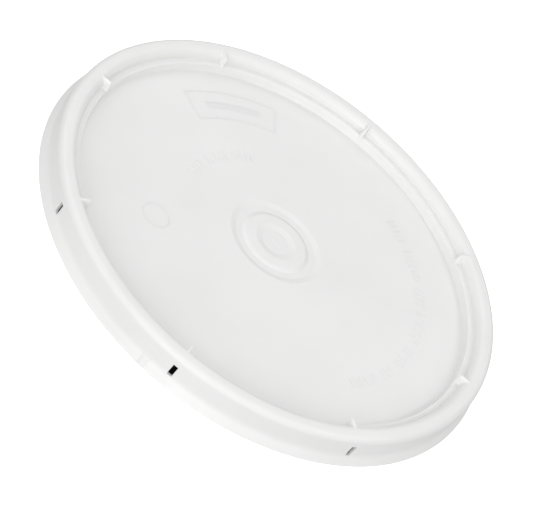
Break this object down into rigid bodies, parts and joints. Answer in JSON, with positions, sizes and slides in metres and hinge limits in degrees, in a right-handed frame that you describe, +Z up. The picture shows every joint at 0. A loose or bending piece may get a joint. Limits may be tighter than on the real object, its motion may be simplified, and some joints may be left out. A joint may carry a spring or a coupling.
{
  "type": "bucket lid",
  "caption": "Round press-on plastic lid for a fermenting bucket: recessed panel, raised crest with stacking ribs, slotted flared skirt and a gasket in the rim channel",
  "frame": {"origin": "centre of the circle that the skirt's lower edge stands on", "axes": "+Z up out of the top face, square to the panel; +X runs through one of the eight slots"},
  "size_m": [0.314, 0.314, 0.0218],
  "materials": {
    "white_plastic": "satin moulded white polyethylene, slightly translucent",
    "gasket_rubber": "soft pale grey sealing rubber, matt"
  },
  "bodies": {
    "root": {"lid_shell": "white_plastic", "gasket": "gasket_rubber"}
  },
  "joints": []
}
